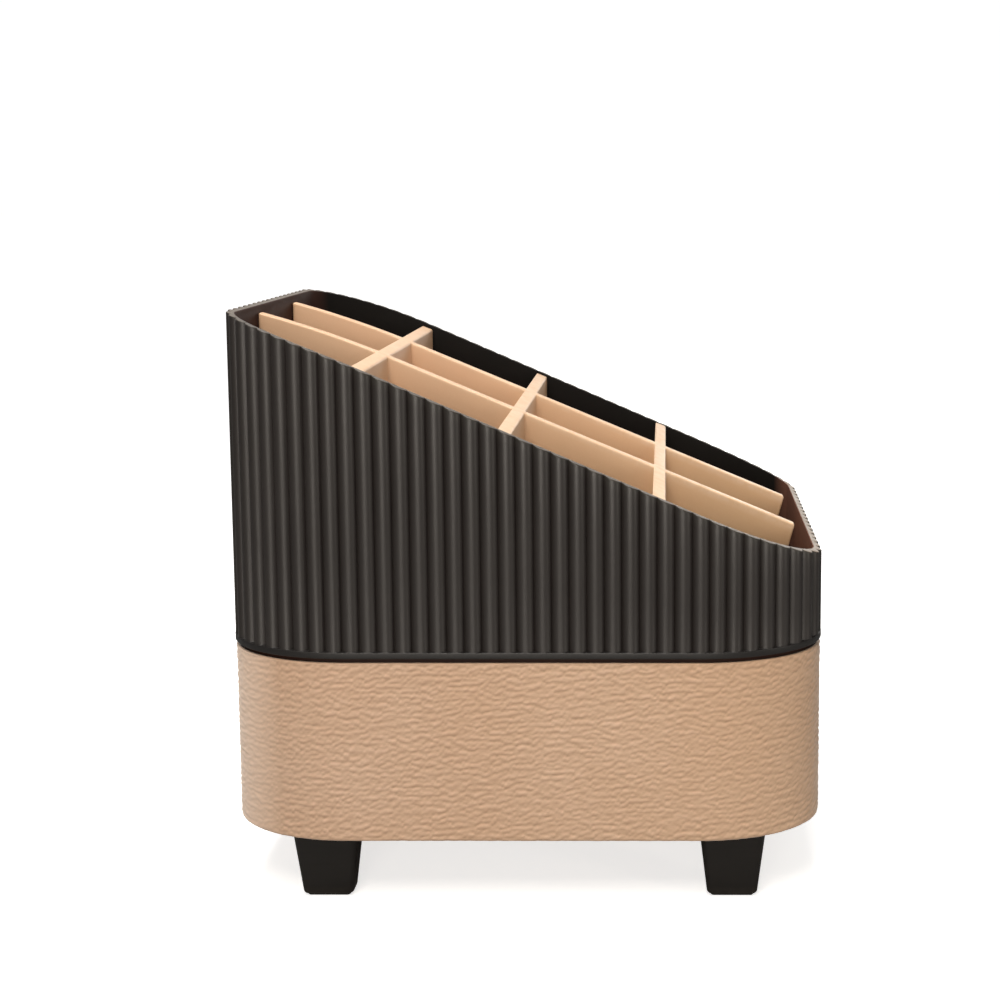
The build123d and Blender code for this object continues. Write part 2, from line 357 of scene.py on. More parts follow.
def mix_color(nt, fac, a, b, blend="MIX"):
    n = node(nt, "ShaderNodeMix", data_type="RGBA", blend_type=blend)
    for sock, v in ((n.inputs[0], fac), (n.inputs[6], a), (n.inputs[7], b)):
        if isinstance(v, (int, float)):
            sock.default_value = v
        elif isinstance(v, tuple):
            sock.default_value = v
        else:
            nt.links.new(v, sock)
    return n.outputs[2]


def moulded(name, dark, light, rough=(0.4, 0.52), fine=0.00002, spec=0.5, mottle=35.0, smear=0.04, wear=None, tint=None):
    """Moulded plastic: fine spark-eroded grain, soft mottling, handling marks in the
    roughness, and rubbed edges where wear gives a mask."""
    m, nt, bsdf, obj = new_material(name)
    big = noise(nt, obj, mottle, 4.0, 0.6)
    small = noise(nt, obj, 1500.0, 3.0, 0.6)
    both = math_node(nt, "ADD", math_node(nt, "MULTIPLY", big, 0.65), math_node(nt, "MULTIPLY", small, 0.35))
    color = ramp(nt, both, [(0.3, dark), (0.7, light)])
    if tint:
        color = tint(nt, obj, color)
    level = spread(nt, math_node(nt, "ADD", math_node(nt, "MULTIPLY", big, 0.5), math_node(nt, "MULTIPLY", small, 0.5)), rough[0], rough[1])
    # wiped marks that run at a slant
    turned = node(nt, "ShaderNodeMapping")
    nt.links.new(obj, turned.inputs["Vector"])
    turned.inputs["Rotation"].default_value = (0.0, 0.9, 0.3)
    turned.inputs["Scale"].default_value = (40, 60, 320)
    marks = spread(nt, noise(nt, turned.outputs[0], 1.0, 3.0, 0.55, 0.4), -smear, smear, 0.35, 0.65)
    level = math_node(nt, "ADD", level, marks)
    if wear:
        mask, worn, smooth = wear(nt, obj)
        broken = math_node(nt, "MULTIPLY", mask, spread(nt, noise(nt, obj, 260.0, 4.0, 0.65), 0.35, 1.0, 0.35, 0.6), clamp=True)
        color = mix_color(nt, broken, color, worn)
        level = math_node(nt, "SUBTRACT", level, math_node(nt, "MULTIPLY", broken, smooth))
    nt.links.new(color, bsdf.inputs["Base Color"])
    nt.links.new(level, bsdf.inputs["Roughness"])
    bsdf.inputs["Specular IOR Level"].default_value = spec
    bump(nt, small, bsdf, fine)
    return m


def axes(nt, obj):
    n = node(nt, "ShaderNodeSeparateXYZ")
    nt.links.new(obj, n.inputs[0])
    return n.outputs


def near_rim(offset, width, worn, smooth):
    """A mask that rises towards the slanted rim, offset and width in metres."""
    def wear(nt, obj):
        x, _, z = axes(nt, obj)
        up = math_node(nt, "ADD", z, math_node(nt, "MULTIPLY", x, RIM_SLOPE))
        top = RIM_MID * MM - offset
        return spread(nt, up, 0.0, 1.0, top - width, top), worn, smooth
    return wear


def near_foot(height, worn, smooth):
    """A mask that rises towards the ground."""
    def wear(nt, obj):
        _, _, z = axes(nt, obj)
        return spread(nt, z, 1.0, 0.0, 0.0008, height), worn, smooth
    return wear


def painted_bounce_ends(nt, obj, color):
    """Painted bounce light: inside the shell the end walls and corners are tinted brown, as if lit by light thrown off
    the beige insert, lighter at the low end.
    """
    x, _, z = axes(nt, obj)
    mask = spread(nt, math_node(nt, "ABSOLUTE", x), 0.0, 1.0, 0.092, 0.0962)
    mask = math_node(nt, "MULTIPLY", mask, spread(nt, z, 0.0, 1.0, 0.088, 0.096))
    return mix_color(nt, mask, color, ramp(nt, spread(nt, x, 0.0, 1.0, -0.09, 0.09), [(0.0, srgb(62, 42, 36)), (1.0, srgb(108, 75, 62))]))


def painted_reflection_ends(nt, obj, color):
    """Painted reflection: the rim is made paler along the end walls, standing in for the bright surroundings it
    reflects there, lighter at the low end.
    """
    x, _, _ = axes(nt, obj)
    mask = spread(nt, math_node(nt, "ABSOLUTE", x), 0.0, 1.0, 0.09, 0.098)
    pale = ramp(nt, spread(nt, x, 0.0, 1.0, -0.09, 0.09), [(0.0, srgb(104, 93, 82)), (1.0, srgb(128, 113, 98))])
    speck = spread(nt, noise(nt, obj, 900.0, 3.0, 0.6), 0.6, 1.0, 0.35, 0.55)
    return mix_color(nt, math_node(nt, "MULTIPLY", mask, speck, clamp=True), color, pale)


def warmer_low(nt, obj, color):
    """The moulding goes a little yellower towards its free ends."""
    x, _, _ = axes(nt, obj)
    return mix_color(nt, 1.0, color, ramp(nt, spread(nt, x, 0.0, 1.0, -0.09, 0.093), [(0.3, (1.0, 0.985, 0.985, 1)), (0.9, (0.975, 0.965, 0.88, 1))]), "MULTIPLY")


def painted_shade_band(nt, obj, color):
    """Painted shade: the plain band under the ribs is darkened in colour, standing in for less light falling on it."""
    _, _, z = axes(nt, obj)
    return mix_color(nt, 1.0, color, ramp(nt, spread(nt, z, 0.0, 1.0, 0.0868, 0.0878), [(0.0, (0.3, 0.3, 0.3, 1)), (1.0, (1, 1, 1, 1))]), "MULTIPLY")


MAT = {}
# shell black, with painted shade on the plain band under the ribs
MAT["shell"] = moulded("shell_black", srgb(34, 30, 28), srgb(38, 34, 32), (0.43, 0.5), 0.000008, smear=0.003,
                       wear=near_rim(0.0, 0.004, srgb(46, 43, 39), 0.06), tint=painted_shade_band)
# painted shade: the inside of the shell is a darker black than the outside, and its end walls carry painted bounce
# light
MAT["inner"] = moulded("shell_inner_painted_shade", srgb(22, 20, 19), srgb(28, 26, 24), (0.55, 0.65), 0.00003, spec=0.06, tint=painted_bounce_ends)
# painted bounce light: the seat recess under the band is a red-brown black, as if lit by light off the leatherette
MAT["seat"] = moulded("shell_seat_painted_bounce", srgb(34, 18, 12), srgb(44, 25, 17), (0.55, 0.65), 0.00003, spec=0.15)
# the rim's top is a paler, speckled grey than the shell: partly a rubbed cut edge, partly painted reflection of the
# bright surroundings
MAT["rim"] = moulded("shell_rim", srgb(62, 55, 48), srgb(92, 83, 73), (0.36, 0.55), 0.00004, mottle=700.0, tint=painted_reflection_ends)
MAT["foot"] = moulded("foot_black", srgb(20, 18, 16), srgb(26, 23, 21), (0.44, 0.54), 0.00002, spec=0.3,
                      wear=near_foot(0.004, srgb(44, 40, 36), 0.0))
MAT["divider"] = moulded("divider_beige", srgb(218, 178, 142), srgb(223, 185, 149), (0.44, 0.56), 0.000015, mottle=22.0,
                         wear=near_rim(0.0009, 0.0022, srgb(226, 193, 160), 0.1), tint=warmer_low)
MAT["core"] = moulded("core_plastic", srgb(60, 52, 46), srgb(74, 65, 57), (0.5, 0.62), 0.00003)
MAT["tray"] = moulded("tray_plastic", srgb(46, 42, 39), srgb(56, 51, 47), (0.42, 0.54), 0.00003)
MAT["runner"] = moulded("runner_plastic", srgb(214, 208, 198), srgb(228, 223, 214), (0.4, 0.5), 0.00001)
MAT["rubber"] = moulded("pad_rubber", srgb(26, 25, 24), srgb(36, 34, 33), (0.75, 0.9), 0.00004, spec=0.3,
                        wear=near_foot(0.0004, srgb(58, 55, 52), 0.0))


def leather(name):
    """Leatherette: small folds that run round the piece between the larger ripples of
    the mesh, pores, soft colour drift."""
    m, nt, bsdf, obj = new_material(name)
    # slow bending of the folds
    warp = node(nt, "ShaderNodeTexNoise")
    nt.links.new(mapping(nt, obj, (110, 110, 190)), warp.inputs["Vector"])
    warp.inputs["Scale"].default_value = 1.0
    warp.inputs["Detail"].default_value = 1.0
    shift = node(nt, "ShaderNodeVectorMath", operation="SUBTRACT")
    nt.links.new(warp.outputs["Color"], shift.inputs[0])
    shift.inputs[1].default_value = (0.5, 0.5, 0.5)
    amount = node(nt, "ShaderNodeVectorMath", operation="MULTIPLY")
    nt.links.new(shift.outputs[0], amount.inputs[0])
    amount.inputs[1].default_value = (0.004, 0.004, 0.0036)
    bent = node(nt, "ShaderNodeVectorMath", operation="ADD")
    nt.links.new(obj, bent.inputs[0])
    nt.links.new(amount.outputs[0], bent.inputs[1])
    p = bent.outputs[0]
    folds = noise(nt, mapping(nt, p, (330, 330, 620)), 1.0, 0.0, 0.5)
    finer = noise(nt, mapping(nt, p, (700, 700, 1300), (3, 5, 7)), 1.0, 1.0, 0.5)
    pores = noise(nt, mapping(nt, obj, (2600, 2600, 3600)), 1.0, 2.0, 0.6)
    h = math_node(nt, "ADD", math_node(nt, "MULTIPLY", folds, 0.7), math_node(nt, "MULTIPLY", finer, 0.3))
    drift = noise(nt, obj, 16.0, 3.0, 0.5)
    base = ramp(nt, h, [
        (0.34, srgb(215, 185, 159)),
        (0.47, srgb(217, 187, 161)),
        (0.58, srgb(219, 189, 163)),
        (0.70, srgb(220, 190, 165)),
    ])
    tint = ramp(nt, drift, [(0.3, srgb(248, 243, 237)), (0.7, srgb(255, 255, 255))])
    x, _, _ = axes(nt, obj)
    side = ramp(nt, spread(nt, x, 0.0, 1.0, -0.09, 0.09), [(0.0, (1.0, 0.985, 0.99, 1)), (1.0, (1.0, 0.96, 0.9, 1))])
    color = mix_color(nt, 1.0, mix_color(nt, 1.0, base, tint, "MULTIPLY"), side, "MULTIPLY")
    # painted shade: darker in the creases, partly also the leatherette's darker pigment there
    relief = node(nt, "ShaderNodeAttribute", attribute_name="relief")
    crease = ramp(nt, spread(nt, relief.outputs["Fac"], 0.0, 1.0, -2.0, 2.0), [(0.0, (0.58, 0.54, 0.51, 1)), (1.0, (1.0, 1.0, 1.0, 1))])
    color = mix_color(nt, 1.0, color, crease, "MULTIPLY")
    # painted highlight: paler round the high end, standing in for light grazing the leatherette's edge there
    painted_rim_light = spread(nt, x, 1.0, 0.0, -0.0975, -0.08)
    color = mix_color(nt, painted_rim_light, color, srgb(233, 208, 188))
    nt.links.new(color, bsdf.inputs["Base Color"])
    nt.links.new(spread(nt, h, 0.6, 0.5), bsdf.inputs["Roughness"])
    bsdf.inputs["Specular IOR Level"].default_value = 0.4
    bsdf.inputs["Sheen Weight"].default_value = 0.5
    bsdf.inputs["Sheen Roughness"].default_value = 0.4
    bsdf.inputs["Sheen Tint"].default_value = (1.0, 0.93, 0.87, 1)
    first = bump(nt, h, None, 0.00012, 1.0)
    bump(nt, pores, bsdf, 0.00004, 0.7, first)
    return m


def velvet(name):
    m, nt, bsdf, obj = new_material(name)
    nap = noise(nt, mapping(nt, obj, (60, 90, 60)), 1.0, 4.0, 0.6)
    pile = noise(nt, obj, 2600.0, 2.0, 0.6)
    nt.links.new(ramp(nt, nap, [(0.3, srgb(176, 140, 112)), (0.7, srgb(202, 166, 136))]), bsdf.inputs["Base Color"])
    bsdf.inputs["Roughness"].default_value = 0.95
    bsdf.inputs["Specular IOR Level"].default_value = 0.2
    bsdf.inputs["Sheen Weight"].default_value = 0.6
    bsdf.inputs["Sheen Roughness"].default_value = 0.4
    bsdf.inputs["Sheen Tint"].default_value = srgb(240, 220, 200)
    bump(nt, pile, bsdf, 0.00012, 0.9)
    return m


def board(name):
    """Fibreboard: fine fibre flecks."""
    m, nt, bsdf, obj = new_material(name)
    fib = noise(nt, mapping(nt, obj, (900, 500, 500)), 1.0, 5.0, 0.7)
    nt.links.new(ramp(nt, fib, [(0.3, srgb(140, 108, 76)), (0.7, srgb(176, 142, 106))]), bsdf.inputs["Base Color"])
    bsdf.inputs["Roughness"].default_value = 0.85
    bump(nt, fib, bsdf, 0.00006, 0.7)
    return m


def steel(name):
    m, nt, bsdf, obj = new_material(name)
    br = noise(nt, mapping(nt, obj, (1800, 1800, 600)), 1.0, 4.0, 0.6)
    nt.links.new(ramp(nt, br, [(0.3, srgb(170, 171, 174)), (0.7, srgb(206, 206, 208))]), bsdf.inputs["Base Color"])
    bsdf.inputs["Metallic"].default_value = 1.0
    nt.links.new(spread(nt, br, 0.26, 0.4), bsdf.inputs["Roughness"])
    bump(nt, br, bsdf, 0.00001, 0.6)
    return m


MAT["leather"] = leather("leatherette")
MAT["velvet"] = velvet("liner_felt")
MAT["board"] = board("front_board")
MAT["steel"] = steel("screw_steel")


# ------------------------------------------------------------------ outlines
def quarter_table(inset, n=6000):
    """A fine walk along the whole outline: arc length and centre, cosine, sine
    of each point, so that any inset can be evaluated at the same station."""
    rx, ry = RX - inset, RY - inset
    rows = []

    def line(x0, y0, x1, y1, c, s, m=400):
        for i in range(m):
            f = i / m
            rows.append((x0 + f * (x1 - x0), y0 + f * (y1 - y0), c, s))

    def corner(x, y, a0):
        for i in range(n):
            t = a0 + (math.pi / 2) * i / n
            rows.append((x, y, math.cos(t), math.sin(t)))

    line(0, -CY, CX, -CY, 0, -1)
    corner(CX, -CY, -math.pi / 2)
    line(CX, -CY, CX, CY, 1, 0)
    corner(CX, CY, 0)
    line(CX, CY, -CX, CY, 0, 1)
    corner(-CX, CY, math.pi / 2)
    line(-CX, CY, -CX, -CY, -1, 0)
    corner(-CX, -CY, math.pi)
    line(-CX, -CY, 0, -CY, 0, -1)
    rows.append((0, -CY, 0, -1))
    a = np.array(rows, float)
    px, py = a[:, 0] + rx * a[:, 2], a[:, 1] + ry * a[:, 3]
    s = np.concatenate([[0], np.cumsum(np.hypot(np.diff(px), np.diff(py)))])
    return s, a


class Stations:
    """Places along the outline at given arc lengths, measured at one inset."""

    def __init__(self, s_wanted, inset):
        s, a = quarter_table(inset)
        self.length = s[-1]
        self.s = np.asarray(s_wanted, float)
        self.a = np.stack([np.interp(self.s % self.length, s, a[:, k]) for k in range(4)], 1)
        d = np.hypot(self.a[:, 2], self.a[:, 3])
        self.a[:, 2] /= d
        self.a[:, 3] /= d
        rx, ry = RX - inset, RY - inset
        nx, ny = self.a[:, 2] / rx, self.a[:, 3] / ry
        d = np.hypot(nx, ny)
        self.n = np.stack([nx / d, ny / d], 1)

    def at(self, inset, push=0.0):
        """x, y at an inset, then pushed inwards along the normal."""
        x = self.a[:, 0] + (RX - inset) * self.a[:, 2] - push * self.n[:, 0]
        y = self.a[:, 1] + (RY - inset) * self.a[:, 3] - push * self.n[:, 1]
        return x, y


def outline_length(inset):
    return quarter_table(inset)[0][-1]


# ------------------------------------------------------------------ the shell
def make_shell():
    total = outline_length(CREST)
    quarter = total / 4
    # grooves along the near half, from the middle of the high end to the middle
    # of the low end, then mirrored along the far half
    a0, a1 = RIB_START - 12 * RIB_PITCH, RIB_START + 12 * RIB_PITCH
    near = list(np.linspace(-quarter, a0, 17)) + [a0 + RIB_PITCH * k for k in range(1, 24)] + list(np.linspace(a1, quarter, 17))
    g = np.array(near + [2 * quarter - e for e in reversed(near[:-1])])
    w = np.array([0.0, 0.018, 0.045, 0.085, 0.14, 0.21, 0.29, 0.37, 0.45, 0.53, 0.61, 0.69, 0.77, 0.84, 0.9, 0.945, 0.98])
    s_all, depth = [], []
    for k in range(len(g) - 1):
        p = g[k + 1] - g[k]
        u = (w - 0.5) * p
        r = (p * p / 4 + RIB_DEPTH**2) / (2 * RIB_DEPTH)
        h = np.sqrt(r * r - u * u) - (r - RIB_DEPTH)
        # a small radius at the foot of each groove
        dist = np.minimum(w, 1 - w) * p
        h = h + 0.10 * np.exp(-((dist / 0.16) ** 2))
        s_all.append(g[k] + w * p)
        depth.append(RIB_DEPTH - h)
    s_all = np.concatenate(s_all)
    depth = np.concatenate(depth)
    st = Stations(s_all, CREST)
    n = len(s_all)
    rings = []

    def ring(x, y, z):
        rings.append(np.stack([x, y, np.broadcast_to(z, x.shape)], 1))

    # seat recess and underside of the band
    x, y = st.at(SEAT)
    ring(x, y, BASE_TOP)
    ring(x, y, BAND_Z0)
    r = 0.35
    x, y = st.at(r)
    ring(x, y, BAND_Z0)
    for k in (1, 2, 3):
        a = math.pi / 2 * k / 4
        x, y = st.at(r * (1 - math.sin(a)))
        ring(x, y, BAND_Z0 + r * (1 - math.cos(a)))
    x, y = st.at(0.0)
    ring(x, y, BAND_Z0 + r)
    # band with a slightly softened upper edge, then the ledge the ribs stand on
    e = 0.22
    ring(x, y, BAND_Z1 - e)
    for k in (1, 2):
        a = math.pi / 2 * k / 3
        x, y = st.at(e * (1 - math.cos(a)) * 0.45)
        ring(x, y, BAND_Z1 - e * (1 - math.sin(a)))
    x, y = st.at(CREST, 0.0)
    ring(x, y, BAND_Z1)
    # small fillet at the foot of the ribs
    for k, f in enumerate((0.0, 0.25, 0.6, 1.0)):
        a = math.pi / 2 * f
        x, y = st.at(CREST, np.maximum(0.0, depth - 0.22 * (1 - math.sin(a))))
        ring(x, y, BAND_Z1 + 0.02 + 0.26 * (1 - math.cos(a)))
    first_plain = len(rings)
    # plain run of the ribs up to the rim
    x, y = st.at(CREST, depth)
    top = rim_z(x)
    z0 = BAND_Z1 + 0.28
    edge = 0.42
    for f in (0.33, 0.66):
        ring(x, y, z0 + (top - edge - z0) * f)
    ring(x, y, top - edge)
    for k in (1, 2, 3):
        a = math.pi / 2 * k / 4
        i = edge * (1 - math.cos(a))
        xx, yy = st.at(CREST, depth + i)
        ring(xx, yy, rim_z(xx) - edge * (1 - math.sin(a)))
    rim_from = len(rings) - 2
    xx, yy = st.at(CREST, depth + edge)
    ring(xx, yy, rim_z(xx))
    # across the rim
    xi, yi = st.at(WALL - 0.35)
    for f in (0.35, 0.7):
        mx, my = xx + f * (xi - xx), yy + f * (yi - yy)
        ring(mx, my, rim_z(mx))
    ring(xi, yi, rim_z(xi))
    rim_to = len(rings) - 1
    for k in (1, 2, 3, 4):
        a = math.pi / 2 * k / 4
        x, y = st.at(WALL - 0.35 * (1 - math.sin(a)))
        ring(x, y, rim_z(x) - 0.35 * (1 - math.cos(a)))
    # inner wall down to the floor with a fillet
    x, y = st.at(WALL)
    top = rim_z(x) - 0.35
    for f in (0.5,):
        ring(x, y, FLOOR_TOP + 0.8 + (top - FLOOR_TOP - 0.8) * f)
    for k in (0, 1, 2, 3, 4):
        a = math.pi / 2 * k / 4
        x, y = st.at(WALL + 0.8 * (1 - math.cos(a)))
        ring(x, y, FLOOR_TOP + 0.8 * (1 - math.sin(a)))
    rows = len(rings)
    verts = np.concatenate(rings)
    faces = ring_faces(rows, n)
    idx = []
    for q in range(rows - 1):
        idx += [(3 if q < 2 else 1 if rim_from <= q < rim_to else 2 if q >= rim_to else 0)] * n
    # underside cap
    faces.append(tuple(reversed(range(n))))
    idx.append(0)
    ob = add_mesh("ribbed_shell_visual", verts, faces, [MAT["shell"], MAT["rim"], MAT["inner"], MAT["seat"]], idx)
    # floor with four countersunk holes
    bm = bmesh.new()
    bm.from_mesh(ob.data)
    bm.verts.ensure_lookup_table()
    loop = [bm.verts[(rows - 1) * n + c] for c in range(n)]
    edges = []
    for c in range(n):
        edges.append(bm.edges.get((loop[c], loop[(c + 1) % n])))
    holes = []
    for sx in (-1, 1):
        for sy in (-1, 1):
            m = 40
            def circle(rad, z):
                return [bm.verts.new(Vector((sx * 78 + rad * math.cos(2 * math.pi * i / m), sy * 57 + rad * math.sin(2 * math.pi * i / m), z)) * MM) for i in range(m)]
            rims = [circle(3.35, FLOOR_TOP), circle(3.12, FLOOR_TOP - 0.12), circle(1.6, FLOOR_TOP - 1.7), circle(1.6, BASE_TOP + 0.3)]
            for a, b in zip(rims, rims[1:]):
                for i in range(m):
                    j = (i + 1) % m
                    f = bm.faces.new((a[i], b[i], b[j], a[j]))
                    f.smooth = True
            bm.faces.new(rims[-1])
            for i in range(m):
                edges.append(bm.edges.get((rims[0][i], rims[0][(i + 1) % m])))
    made = bmesh.ops.triangle_fill(bm, use_beauty=True, use_dissolve=False, edges=edges, normal=(0, 0, 1))
    for f in made["geom"]:
        if isinstance(f, bmesh.types.BMFace):
            f.normal_update()
            f.material_index = 2
            if f.normal.z < 0:
                f.normal_flip()
            f.smooth = False
    bm.to_mesh(ob.data)
    bm.free()
    sharpen(ob, 50)
    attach(ob, "holder")
    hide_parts("ribbed_shell")
    return ob


# ------------------------------------------------------------------ the wrap
WRAP_INSET = 0.3
RELIEF = 0.14
OPEN_HALF, OPEN_Z0, OPEN_Z1 = 45.2, 28.6, 77.4


def make_wrap():
    total = outline_length(WRAP_INSET)
    quarter = total / 4
    # the drawer opening is centred on the low end, one quarter round
    r_open = 0.7
    a, b = quarter - OPEN_HALF - r_open, quarter + OPEN_HALF + r_open
    seam = 2 * quarter + 38.0
    step = 0.92

    def run(s0, s1, d):
        m = max(1, int(round((s1 - s0) / d)))
        return [s0 + (s1 - s0) * i / m for i in range(m)]

    s = run(0, a, step)
    ia = len(s)
    s += run(a, b, step)
    ib = len(s)
    s += run(b, seam - 1.2, step) + run(seam - 1.2, seam + 1.2, 0.12) + run(seam + 1.2, total, step)
    s = np.array(s)
    st = Stations(s, WRAP_INSET)
    n = len(s)
    rings, levels, relief = [], [], []

    def ring(inset, z, grain=1.0):
        g = grain_height(st.s, np.full(n, z), total) * grain
        h = g * RELIEF
        dip = 0.28 * np.exp(-(((st.s - seam) / 0.22) ** 2)) * (1 if grain > 0.2 else 0)
        lap = 0.12 * np.clip((st.s - seam) / 1.2, 0, 1) * np.clip((seam + 9 - st.s) / 9, 0, 1) * 0
        x, y = st.at(inset, -h + dip - lap + 0.15 * grain)
        rings.append(np.stack([x, y, np.full(n, z)], 1))
        levels.append(z)
        relief.extend(-g)

    z0, r = 23.0, 1.4
    ring(WRAP_INSET + r, z0, 0.0)
    for k in range(1, 6):
        t = math.pi / 2 * k / 6
        ring(WRAP_INSET + r * (1 - math.sin(t)), z0 + r * (1 - math.cos(t)), 0.3 + 0.1 * k)
    zs = [z0 + r]
    o0, o1 = OPEN_Z0 - r_open, OPEN_Z1 + r_open
    zs += [z0 + r + (o0 - z0 - r) * i / 8 for i in range(1, 8)]
    m = int(round((o1 - o0) / 0.45))
    zs += [o0 + (o1 - o0) * i / m for i in range(m + 1)]
    zt = BASE_TOP - 0.55
    zs += [o1 + (zt - o1) * i / 12 for i in range(1, 13)]
    for z in zs:
        ring(WRAP_INSET, z)
    r0 = levels.index(zs[8])
    r1 = r0 + m
    for k in range(1, 5):
        t = math.pi / 2 * k / 4
        ring(WRAP_INSET + 0.55 * (1 - math.cos(t)), zt + 0.55 * math.sin(t), 0.6 - 0.12 * k)
    ring(WRAP_INSET + 1.0, BASE_TOP, 0.0)
    ring(WRAP_INSET + 1.0, BASE_TOP - 2.0, 0.0)
    rows = len(rings)
    verts = [tuple(p) for p in np.concatenate(rings)]
    faces = ring_faces(rows, n, skip=lambda q, c: r0 <= q < r1 and ia <= c < ib)
    faces.append(tuple(reversed(range(n))))
    # the leatherette turned into the drawer opening
    border = [(r0, c) for c in range(ia, ib)] + [(q, ib) for q in range(r0, r1)]
    border += [(r1, c) for c in range(ib, ia, -1)] + [(q, ia) for q in range(r1, r0, -1)]
    loop = [q * n + c for q, c in border]
    base = np.array([verts[i] for i in loop])
    face_x = HX - WRAP_INSET
    prev = loop
    dirs = np.zeros((len(loop), 2))
    for i, (q, c) in enumerate(border):
        dirs[i, 0] = (1 if c == ia else 0) - (1 if c == ib else 0)
        dirs[i, 1] = (1 if q == r0 else 0) - (1 if q == r1 else 0)
    steps = [(r_open * math.sin(t), r_open * (1 - math.cos(t))) for t in (math.pi / 8, math.pi / 4, 3 * math.pi / 8, math.pi / 2)]
    for side, deep in steps + [(r_open, 4.2)]:
        start = len(verts)
        keep = max(0.0, 1 - deep / r_open)
        for i in range(len(loop)):
            x = face_x - deep + (base[i, 0] - face_x) * keep
            verts.append((x, base[i, 1] + dirs[i, 0] * side, base[i, 2] + dirs[i, 1] * side))
        cur = list(range(start, start + len(loop)))
        for i in range(len(loop)):
            j = (i + 1) % len(loop)
            faces.append((prev[i], prev[j], cur[j], cur[i]))
        prev = cur
    ob = add_mesh("base_wrap_visual", verts, faces, [MAT["leather"]])
    keep_relief(ob, relief)
    sharpen(ob, 60)
    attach(ob, "holder")
    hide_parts("base_wrap")
    return ob


# ------------------------------------------------------------------ divider insert
CROSS_X = (-53.5, -5.5, 44.7)
LONG_Y = 22.8
DIV_T, DIV_Z0 = 4.3, FLOOR_TOP + 0.05
GRID_DROP, GRID_RISE = 1.6, 0.0155
FREE_X, FREE_RAKE = 93.0, 15.0


def grid_z(x):
    """Top of the divider insert."""
    return float(fall_z(x)) - GRID_DROP + GRID_RISE * (x - CROSS_X[0])


def make_insert():
    """One moulding: a lattice of walls on lines in x and y, its edges rounded and
    small fillets where the walls meet."""
    half = HY - WALL - 0.3
    x0 = -(HX - WALL - 0.3)
    t = DIV_T / 2
    lean = (grid_z(FREE_X) - DIV_Z0) * math.tan(math.radians(FREE_RAKE))
    # x of each line at the foot and at the top; only the free ends lean
    lines = [(float(x), float(x)) for x in np.linspace(x0, EASE_X, 13)]
    for xc in CROSS_X:
        lines += [(xc - t, xc - t), (xc + t, xc + t)]
    lines.append((FREE_X - lean, FREE_X))
    lines.sort(key=lambda q: q[1])
    ys = [-half, -LONG_Y - t, -LONG_Y + t, LONG_Y - t, LONG_Y + t, half]

    def filled(i, j):
        if not (0 <= i < len(lines) - 1 and 0 <= j < len(ys) - 1):
            return False
        mid = (lines[i][1] + lines[i + 1][1]) / 2
        return j in (1, 3) or any(abs(mid - xc) < t for xc in CROSS_X)

    bm = bmesh.new()
    made = {}

    def vert(i, j, up):
        key = (i, j, up)
        if key not in made:
            x = lines[i][1] if up else lines[i][0]
            made[key] = bm.verts.new(Vector((x, ys[j], grid_z(x) if up else DIV_Z0)) * MM)
        return made[key]

    for i in range(len(lines) - 1):
        for j in range(len(ys) - 1):
            if not filled(i, j):
                continue
            bm.faces.new([vert(i, j, 1), vert(i + 1, j, 1), vert(i + 1, j + 1, 1), vert(i, j + 1, 1)])
            bm.faces.new([vert(i, j + 1, 0), vert(i + 1, j + 1, 0), vert(i + 1, j, 0), vert(i, j, 0)])
            for di, dj, p, q in ((-1, 0, (i, j + 1), (i, j)), (1, 0, (i + 1, j), (i + 1, j + 1)), (0, -1, (i, j), (i + 1, j)), (0, 1, (i + 1, j + 1), (i, j + 1))):
                if not filled(i + di, j + dj):
                    bm.faces.new([vert(*p, 0), vert(*q, 0), vert(*q, 1), vert(*p, 1)])
    ob = bm_object("divider_insert_visual", bm, [MAT["divider"]])
    rounded(ob, 0.7, 4, 30)
    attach(ob, "divider_grid")
    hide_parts("divider_insert")
    return ob


# ------------------------------------------------------------------ feet, pads
def rr_loop(cx, cy, w, d, r, k=8):
    """Points round a rectangle with rounded corners."""
    r = min(r, w / 2 - 0.01, d / 2 - 0.01)
    out = []
    for qx, qy, a0 in ((1, -1, -90), (1, 1, 0), (-1, 1, 90), (-1, -1, 180)):
        for i in range(k + 1):
            a = math.radians(a0 + 90 * i / k)
            out.append((cx + qx * (w / 2 - r) + r * math.cos(a), cy + qy * (d / 2 - r) + r * math.sin(a)))
    return out


def loft(sections, k=8):
    """Vertices and faces of a closed loft through (cx, cy, w, d, r, z)."""
    verts, n = [], 4 * (k + 1)
    for cx, cy, w, d, r, z in sections:
        verts += [(x, y, z) for x, y in rr_loop(cx, cy, w, d, r, k)]
    faces = ring_faces(len(sections), n)
    faces.append(tuple(reversed(range(n))))
    faces.append(tuple((len(sections) - 1) * n + i for i in range(n)))
    return verts, faces


